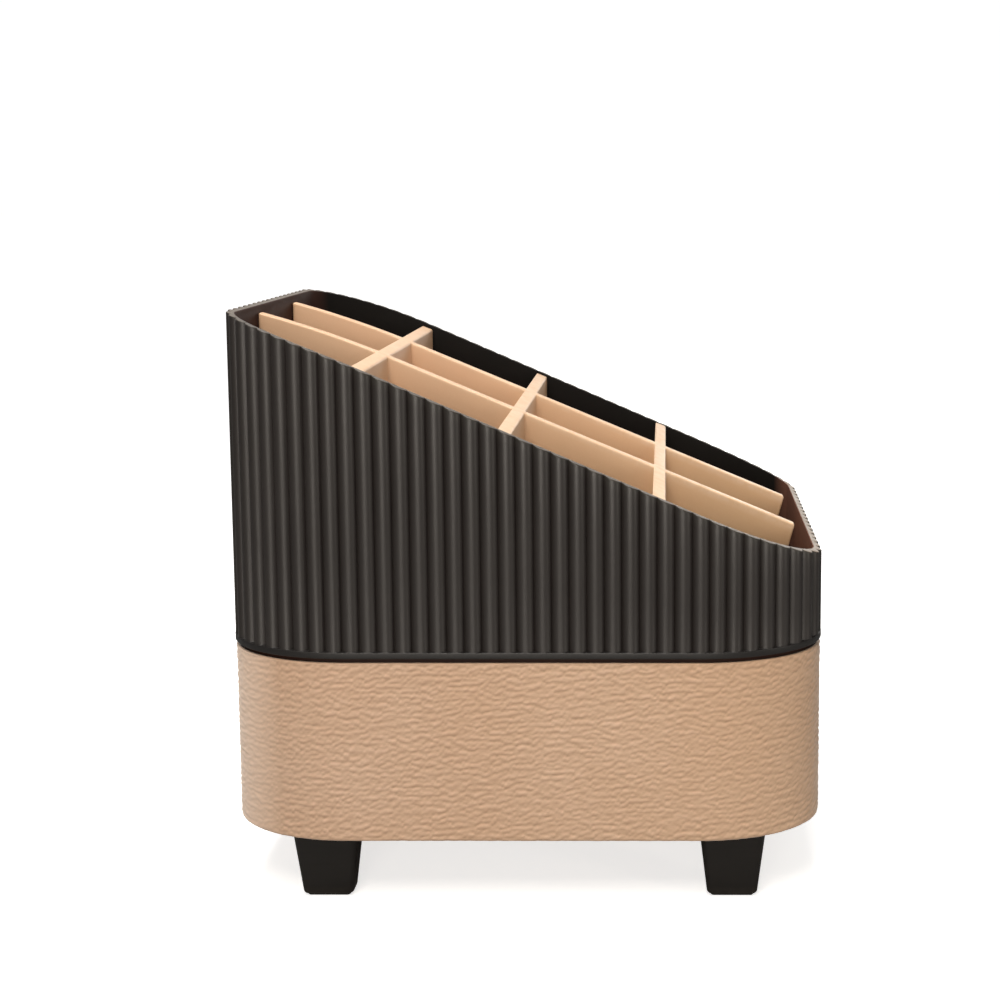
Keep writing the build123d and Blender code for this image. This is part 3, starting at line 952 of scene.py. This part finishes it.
def make_feet():
    for sx, fx, nx in ((-1, -66.6, "high"), (1, 69.2, "low")):
        for sy, ny in ((-1, "near"), (1, "far")):
            bot = (fx, sy * 62.5, 16.8, 8.0)
            top = (fx, sy * 63.3, 22.0, 12.0)
            sec = []
            z0, z1, r = 0.8, 23.0, 1.0
            for t in (0, 1, 2, 3, 4):
                a = math.pi / 2 * t / 4
                i = r * (1 - math.sin(a))
                z = z0 + r * (1 - math.cos(a))
                f = (z - z0) / (z1 - z0)
                w = bot[2] + f * (top[2] - bot[2])
                d = bot[3] + f * (top[3] - bot[3])
                sec.append((fx, bot[1] + f * (top[1] - bot[1]), w - 2 * i, d - 2 * i, max(0.6, 1.9 - i), z))
            for f in (0.2, 0.4, 0.6, 0.8, 0.97, 1.0):
                w = bot[2] + f * (top[2] - bot[2])
                d = bot[3] + f * (top[3] - bot[3])
                sec.append((fx, bot[1] + f * (top[1] - bot[1]), w, d, 1.9 + 0.5 * f, z0 + f * (z1 - z0)))
            v, fcs = loft(sec)
            ob = add_mesh(f"foot_{ny}_{nx}_visual", v, fcs, [MAT["foot"]])
            sharpen(ob, 40)
            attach(ob, "holder")
            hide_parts(f"foot_{ny}_{nx}")
    parts = []
    for fx in (-66.6, 69.2):
        for sy in (-1, 1):
            sec = [(fx, sy * 62.5, 14.4 - 0.4, 5.6 - 0.4, 1.0, 0.0), (fx, sy * 62.5, 14.4 - 0.12, 5.6 - 0.12, 1.15, 0.06),
                   (fx, sy * 62.5, 14.4, 5.6, 1.2, 0.2), (fx, sy * 62.5, 14.4, 5.6, 1.2, 0.8)]
            v, fcs = loft(sec, 6)
            parts.append((v, fcs, 0))
    ob = joined("foot_pads_visual", parts, [MAT["rubber"]])
    sharpen(ob, 40)
    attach(ob, "holder")
    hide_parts("foot_pads")


# ------------------------------------------------------------------ screws
def screw_parts(origin, axis, head, shank_len, pan):
    """A cross-recess screw. axis points from the head to the tip; origin is the
    middle of the head's outer face (countersunk) or of its seat (pan)."""
    ax = Vector(axis).normalized()
    u = ax.orthogonal().normalized()
    w = ax.cross(u)
    o = Vector(origin)
    m = 48
    prof = []                                     # (distance along axis, radius)
    if pan:
        h = 1.6
        for k in range(7):
            t = math.pi / 2 * k / 6
            prof.append((-h * math.cos(t) ** 0.8 if k < 6 else 0.0, max(0.02, head * math.sin(t))))
        prof.append((0.0, 1.45))
        s0 = 0.0
    else:
        prof += [(0.0, 0.02), (0.0, head * 0.5), (0.0, head - 0.1), (0.06, head - 0.02), (0.14, head - 0.02), (1.55, 1.5)]
        s0 = 1.55
    verts, faces = [], []

    def put(d, r_of):
        start = len(verts)
        for i in range(m):
            a = 2 * math.pi * i / m
            r = r_of(a)
            p = o + ax * d + (u * math.cos(a) + w * math.sin(a)) * r
            verts.append(tuple(p))
        return start

    starts = [put(d, (lambda a, r=r: r)) for d, r in prof]
    # threaded shank
    turns = 0.95
    d = s0 + 0.4
    end = s0 + shank_len
    while d < end:
        taper = min(1.0, max(0.15, (end - d) / 2.4))
        def rr(a, d=d, taper=taper):
            f = (d / turns - a / (2 * math.pi)) % 1.0
            return (1.12 + 0.36 * max(0.0, 1 - abs(f - 0.5) * 3.4)) * taper
        starts.append(put(d, rr))
        d += 0.16
    starts.append(put(end, lambda a: 0.05))
    for a, b in zip(starts, starts[1:]):
        for i in range(m):
            j = (i + 1) % m
            faces.append((a + i, a + j, b + j, b + i))
    faces.append(tuple(reversed(range(starts[0], starts[0] + m))))
    faces.append(tuple(range(starts[-1], starts[-1] + m)))
    return verts, faces


def cross_recess(origin, axis, size, deep):
    """The two tapered bars of a cross cutter for the head."""
    ax = Vector(axis).normalized()
    u = ax.orthogonal().normalized()
    w = ax.cross(u)
    o = Vector(origin)
    bars = []
    for p, q in ((u, w), (w, -u)):
        bm = bmesh.new()
        rows = []
        for d, s, t in ((-2.2, size * 1.1, 0.42), (deep, size * 0.35, 0.26)):
            rows.append([bm.verts.new((o + ax * d + p * a * s + q * b * t) * MM) for a, b in ((-1, -1), (1, -1), (1, 1), (-1, 1))])
        lo, hi = rows
        bm.faces.new(lo)
        bm.faces.new(list(reversed(hi)))
        for i in range(4):
            j = (i + 1) % 4
            bm.faces.new((lo[j], lo[i], hi[i], hi[j]))
        bmesh.ops.recalc_face_normals(bm, faces=bm.faces)
        bars.append(bm)
    return bars


def make_screws(name, placed, nodes, body):
    obs = []
    for k, (origin, axis, head, shank, pan) in enumerate(placed):
        v, f = screw_parts(origin, axis, head, shank, pan)
        ob = add_mesh(f"{name}_{k}", v, f, [MAT["steel"]])
        bm = bmesh.new()
        bm.from_mesh(ob.data)
        bmesh.ops.recalc_face_normals(bm, faces=bm.faces)
        bm.to_mesh(ob.data)
        bm.free()
        for bar in cross_recess(origin, axis, head * 0.52, 0.95 if not pan else 0.2):
            uncut = ob.data.copy()
            boolean(ob, bm_object("cut", bar, [MAT["steel"]]))
            if len(ob.data.polygons) < len(uncut.polygons) // 2:
                ob.data = uncut
        obs.append(ob)
    verts, faces = [], []
    for ob in obs:
        n = len(verts)
        verts += [tuple(v.co / MM) for v in ob.data.vertices]
        faces += [tuple(n + i for i in p.vertices) for p in ob.data.polygons]
        me = ob.data
        bpy.data.objects.remove(ob)
        bpy.data.meshes.remove(me)
    ob = add_mesh(name + "_visual", verts, faces, [MAT["steel"]])
    sharpen(ob, 35)
    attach(ob, body)
    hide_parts(*nodes)
    return ob


# ------------------------------------------------------------------ drawer
FACE_X, PANEL_X0, PANEL_X1 = 99.7, 91.7, 98.7
FRONT_HALF, FRONT_Z0, FRONT_Z1, NOTCH_R = 44.7, 29.1, 76.9, 11.0
TRAY_X0, TRAY_HALF, TRAY_Z0, TRAY_TOP, TRAY_W, TRAY_F = -83.7, 43.2, 29.05, 74.0, 2.6, 2.4


def make_front_wrap():
    r = 1.1
    near_edge = [0.0, 0.08, 0.24, 0.48, 0.78, r]
    ys = [-FRONT_HALF + d for d in near_edge]
    ys += list(np.linspace(-FRONT_HALF + r + 0.5, -NOTCH_R - 1.2, 56))
    ys += [-NOTCH_R - 0.7, -NOTCH_R - 0.3]
    ys += [NOTCH_R * math.sin(t) for t in np.linspace(-math.pi / 2, math.pi / 2, 57)]
    ys += [-y for y in reversed(ys[: len(near_edge) + 58])]
    ys = np.array(ys)
    inside = np.abs(ys) < NOTCH_R - 1e-9
    ztop = np.full(len(ys), FRONT_Z1)
    ztop[inside] = FRONT_Z1 - np.sqrt(NOTCH_R**2 - ys[inside] ** 2)
    v = [d for d in near_edge]
    total_rows = 122
    grid = []
    for j, y in enumerate(ys):
        h = ztop[j] - FRONT_Z0
        col = [FRONT_Z0 + d for d in near_edge]
        mid = np.linspace(FRONT_Z0 + r + 0.6, ztop[j] - r - 0.6, total_rows - 2 * len(near_edge))
        col += list(mid) + [ztop[j] - d for d in reversed(near_edge)]
        grid.append(col)
    grid = np.array(grid)                       # columns by rows
    Y = np.repeat(ys[:, None], grid.shape[1], 1)
    Z = grid
    d = np.minimum(np.minimum(Y + FRONT_HALF, FRONT_HALF - Y), Z - FRONT_Z0)
    d = np.minimum(d, np.where(np.abs(Y) >= NOTCH_R, FRONT_Z1 - Z, np.sqrt(Y**2 + (Z - FRONT_Z1) ** 2) - NOTCH_R))
    d = np.minimum(d, np.sqrt(Y**2 + (Z - FRONT_Z1) ** 2) - NOTCH_R)
    d = np.clip(d, 0, r)
    drop = r - np.sqrt(np.maximum(r * r - (r - d) ** 2, 0))
    g = grain_height(Y + 161.0, Z, 640.0) * np.clip(d / r, 0, 1)
    X = FACE_X - drop + g * RELIEF - 0.15 * np.clip(d / r, 0, 1)
    ny, nz = X.shape
    verts = [(X[j, i], Y[j, i], Z[j, i]) for j in range(ny) for i in range(nz)]
    faces = []
    for j in range(ny - 1):
        for i in range(nz - 1):
            faces.append((j * nz + i, (j + 1) * nz + i, (j + 1) * nz + i + 1, j * nz + i + 1))
    border = [j * nz for j in range(ny)] + [(ny - 1) * nz + i for i in range(1, nz)]
    border += [j * nz + nz - 1 for j in range(ny - 2, -1, -1)] + [i for i in range(nz - 2, 0, -1)]
    prev = border
    for x in (96.0, PANEL_X0 + 0.1):
        start = len(verts)
        for i in border:
            verts.append((x, verts[i][1], verts[i][2]))
        cur = list(range(start, start + len(border)))
        for a in range(len(border)):
            b = (a + 1) % len(border)
            faces.append((prev[b], prev[a], cur[a], cur[b]))
        prev = cur
    ob = add_mesh("drawer_front_wrap_visual", verts, faces, [MAT["leather"]])
    keep_relief(ob, g.ravel())
    sharpen(ob, 60)
    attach(ob, "drawer")
    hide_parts("drawer_front_wrap")
    return ob


def make_tray():
    ob = bm_object("drawer_tray_visual", box_bm(TRAY_X0, PANEL_X0, -TRAY_HALF, TRAY_HALF, TRAY_Z0, TRAY_TOP), [MAT["tray"]])
    hollow = bm_object("h", box_bm(TRAY_X0 + TRAY_W, PANEL_X0 - TRAY_W, -TRAY_HALF + TRAY_W, TRAY_HALF - TRAY_W, TRAY_Z0 + TRAY_F, TRAY_TOP + 9), [])
    boolean(ob, hollow)
    tab = bm_object("t", box_bm(TRAY_X0, TRAY_X0 + TRAY_W, -10, 10, TRAY_TOP - 2, 78.5), [])
    boolean(ob, tab, "UNION")
    cut = bm_object("c", cyl_bm((PANEL_X0 - TRAY_W - 2, 0, FRONT_Z1), (PANEL_X0 + 2, 0, FRONT_Z1), NOTCH_R + 2.0, 72), [])
    boolean(ob, cut)
    rounded(ob, 0.55, 3, 30)
    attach(ob, "drawer")
    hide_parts("drawer_tray")
    x0, x1 = TRAY_X0 + TRAY_W + 0.4, PANEL_X0 - TRAY_W - 0.4
    y1 = TRAY_HALF - TRAY_W - 0.4
    z0 = TRAY_Z0 + TRAY_F
    xs = np.concatenate([[x0, x0 + 0.15, x0 + 0.5, x0 + 1.0], np.linspace(x0 + 2, x1 - 2, 150), [x1 - 1.0, x1 - 0.5, x1 - 0.15, x1]])
    ys = np.concatenate([[-y1, -y1 + 0.15, -y1 + 0.5, -y1 + 1.0], np.linspace(-y1 + 2, y1 - 2, 72), [y1 - 1.0, y1 - 0.5, y1 - 0.15, y1]])
    X, Y = np.meshgrid(xs, ys, indexing="ij")
    d = np.minimum(np.minimum(X - x0, x1 - X), np.minimum(Y + y1, y1 - Y))
    rr = 0.9
    dd = np.clip(d, 0, rr)
    top = z0 + 1.5 - (rr - np.sqrt(np.maximum(rr * rr - (rr - dd) ** 2, 0)))
    top += np.clip(d, 0, 1) * 0.10 * (perlin((X + 100) / 9, (Y + 60) / 9, 64, 64, 5) - 0.6)
    verts = [tuple(p) for p in np.stack([X, Y, top], 2).reshape(-1, 3)]
    nx, ny = X.shape
    faces = [(i * ny + j, (i + 1) * ny + j, (i + 1) * ny + j + 1, i * ny + j + 1) for i in range(nx - 1) for j in range(ny - 1)]
    border = [i * ny for i in range(nx)] + [(nx - 1) * ny + j for j in range(1, ny)]
    border += [i * ny + ny - 1 for i in range(nx - 2, -1, -1)] + [j for j in range(ny - 2, 0, -1)]
    start = len(verts)
    for i in border:
        verts.append((verts[i][0], verts[i][1], z0))
    cur = list(range(start, start + len(border)))
    for a in range(len(border)):
        b = (a + 1) % len(border)
        faces.append((border[b], border[a], cur[a], cur[b]))
    faces.append(tuple(reversed(cur)))
    liner = add_mesh("drawer_liner_visual", verts, faces, [MAT["velvet"]])
    sharpen(liner, 60)
    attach(liner, "drawer")
    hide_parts("drawer_liner")


def make_runners():
    for sy, name in ((-1, "left"), (1, "right")):
        y0, y1 = sorted((sy * 33.0, sy * OPEN_HALF))
        l0, l1 = sorted((sy * (TRAY_HALF + 0.4), sy * OPEN_HALF))
        ob = bm_object(f"runner_{name}_visual", box_bm(-83.8, 89.0, y0, y1, 27.0, 29.0), [MAT["runner"]])
        lip = bm_object("l", box_bm(-83.8, 89.0, l0, l1, 28.0, 36.0), [])
        boolean(ob, lip, "UNION")
        rounded(ob, 0.35, 2, 30)
        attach(ob, "holder")
        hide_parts(f"runner_{name}")
    x0 = TRAY_X0 + TRAY_W + 120.3
    ob = bm_object("drawer_stop_visual", box_bm(x0, x0 + 8, -9, 9, TRAY_TOP + 1.2, 80.5), [MAT["runner"]])
    rounded(ob, 0.6, 3, 30)
    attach(ob, "holder")
    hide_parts("drawer_stop")


make_shell()
make_wrap()
make_insert()
make_feet()
make_front_wrap()
make_tray()
make_runners()
make_screws("shell_screws", [((sx * 78, sy * 57, FLOOR_TOP - 0.02), (0, 0, -1), 3.0, 19.2, False) for sx in (-1, 1) for sy in (-1, 1)], ["shell_screws"], "holder")
make_screws("front_screws", [((PANEL_X0 - TRAY_W, sy * 25.0, 52.0), (1, 0, 0), 2.8, 7.6, True) for sy in (-1, 1)], ["front_screws"], "drawer")
make_screws("stop_screw", [((TRAY_X0 + TRAY_W + 124.3, 0, TRAY_TOP + 1.2), (0, 0, 1), 3.0, 5.6, False)], ["stop_screw"], "holder")

# CAD nodes that stay as they are
for name, mat in (
    ("base_core", "core"), ("base_deck", "core"), ("foot_screws", "steel"), ("drawer_front_panel", "board"),
):
    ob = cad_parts[name]
    for slot_ in ob.material_slots:
        slot_.material = MAT[mat]

# ------------------------------------------------------------------ stage
def floor_material():
    """Pale floor, white as it is seen and dimmer as it lights the object, as if the
    object stood on a white sweep in a darkened studio."""
    m, nt, bsdf, obj = new_material("floor_pale")
    n = noise(nt, obj, 3.0, 3.0, 0.5)
    seen = ramp(nt, n, [(0.3, (0.88, 0.88, 0.875, 1)), (0.7, (0.9, 0.9, 0.895, 1))])
    path = node(nt, "ShaderNodeLightPath")
    nt.links.new(mix_color(nt, path.outputs["Is Camera Ray"], (0.3, 0.298, 0.295, 1), seen), bsdf.inputs["Base Color"])
    bsdf.inputs["Roughness"].default_value = 0.9
    bsdf.inputs["Specular IOR Level"].default_value = 0.1
    length_ = node(nt, "ShaderNodeVectorMath", operation="LENGTH")
    nt.links.new(obj, length_.inputs[0])
    far = spread(nt, length_.outputs["Value"], 0.72, 1.0, 0.12, 0.6)
    glow = math_node(nt, "MULTIPLY", far, path.outputs["Is Camera Ray"])
    bsdf.inputs["Emission Color"].default_value = (1, 1, 1, 1)
    nt.links.new(math_node(nt, "MULTIPLY", glow, 0.93), bsdf.inputs["Emission Strength"])
    return m


def make_stage():
    verts, faces = [], []
    rings = [0.0, 0.4, 1.0, 2.5, 6.0, 14.0]
    m = 96
    for r in rings[1:]:
        for i in range(m):
            a = 2 * math.pi * i / m
            verts.append((r * math.cos(a) * 1000, r * math.sin(a) * 1000, 0.0))
    faces.append(tuple(range(m)))
    for k in range(len(rings) - 2):
        for i in range(m):
            j = (i + 1) % m
            faces.append((k * m + i, (k + 1) * m + i, (k + 1) * m + j, k * m + j))
    ob = add_mesh("floor", verts, faces, [floor_material()])


make_stage()

# a studio that is white to look at, lit from behind and above and dim in front
world = bpy.data.worlds.new("studio")
scene.world = world
world.use_nodes = True
wt = world.node_tree
bg = wt.nodes["Background"]
bg.inputs["Color"].default_value = (1.0, 0.995, 0.985, 1)
wc = node(wt, "ShaderNodeTexCoord")
ws = node(wt, "ShaderNodeSeparateXYZ")
wt.links.new(wc.outputs["Generated"], ws.inputs[0])
wp = node(wt, "ShaderNodeLightPath")
dim = spread(wt, ws.outputs["Y"], 0.14, 0.95, 0.4, 0.95)
wt.links.new(math_node(wt, "MAXIMUM", dim, math_node(wt, "MULTIPLY", wp.outputs["Is Camera Ray"], 1.02)), bg.inputs["Strength"])


def area(name, loc, target, size, radiance, color=(1, 1, 1), size_y=None, cone=180):
    """A soft box of the given radiance; cone is the angle its light fans out to."""
    d = bpy.data.lights.new(name, "AREA")
    d.shape = "RECTANGLE"
    d.size = size
    d.size_y = size_y or size
    d.energy = radiance * math.pi * d.size * d.size_y
    d.color = color
    d.spread = math.radians(cone)
    ob = bpy.data.objects.new(name, d)
    ob.location = loc
    ob.rotation_euler = (Vector(target) - Vector(loc)).to_track_quat("-Z", "Y").to_euler()
    ob.visible_camera = False
    scene.collection.objects.link(ob)
    return ob


WARM = (1.0, 0.925, 0.835)
area("key_top", (-0.1, -0.02, 1.0), (-0.02, 0.0, 0.0), 0.5, 1.75, (1.0, 0.985, 0.965), cone=70)
area("top_front", (-0.1, -0.6, 0.9), (0, 0, 0.1), 0.4, 8.7, WARM)
area("front_soft", (-0.14, -1.15, 0.22), (-0.02, 0, 0.14), 0.34, 9.2, WARM, size_y=0.42)
area("front_left", (-0.62, -1.1, 0.24), (-0.02, 0, 0.14), 0.4, 0.4, WARM, size_y=0.46)
area("front_right", (0.16, -1.2, 0.24), (0, 0, 0.14), 0.3, 2.8, WARM, size_y=0.46)
area("right_strip", (0.95, -0.6, 0.18), (0, 0, 0.12), 0.14, 10.6, WARM, size_y=0.36)
area("left_soft", (-1.0, -0.7, 0.4), (0, 0, 0.12), 0.5, 0.12, WARM, size_y=0.6)
area("back_right", (0.52, 1.3, 0.34), (0.05, 0, 0.12), 0.5, 2.4, WARM, size_y=0.4)
# a card that lies in front and fills the lower part of the ribs
area("front_card", (-0.1, -0.74, 0.002), (-0.1, -0.74, 1.0), 0.25, 2.4, WARM, size_y=0.56)

# ------------------------------------------------------------------ camera
cam_data = bpy.data.cameras.new("camera")
cam = bpy.data.objects.new("camera", cam_data)
scene.collection.objects.link(cam)
scene.camera = cam
cam_data.sensor_width = 36.0
cam_data.lens = 1399.4 / 1000 * 36.0
cam_data.shift_x = (500 - 662.99) / 1000
cam_data.shift_y = (332.38 - 500) / 1000
cam_data.clip_start, cam_data.clip_end = 0.02, 50
cam.location = (0.04671, -0.51538, 0.23602)
cam.rotation_euler = (math.pi / 2 - 0.1006, 0, 0.0017)

scene.view_settings.view_transform = "Standard"
scene.view_settings.look = "None"
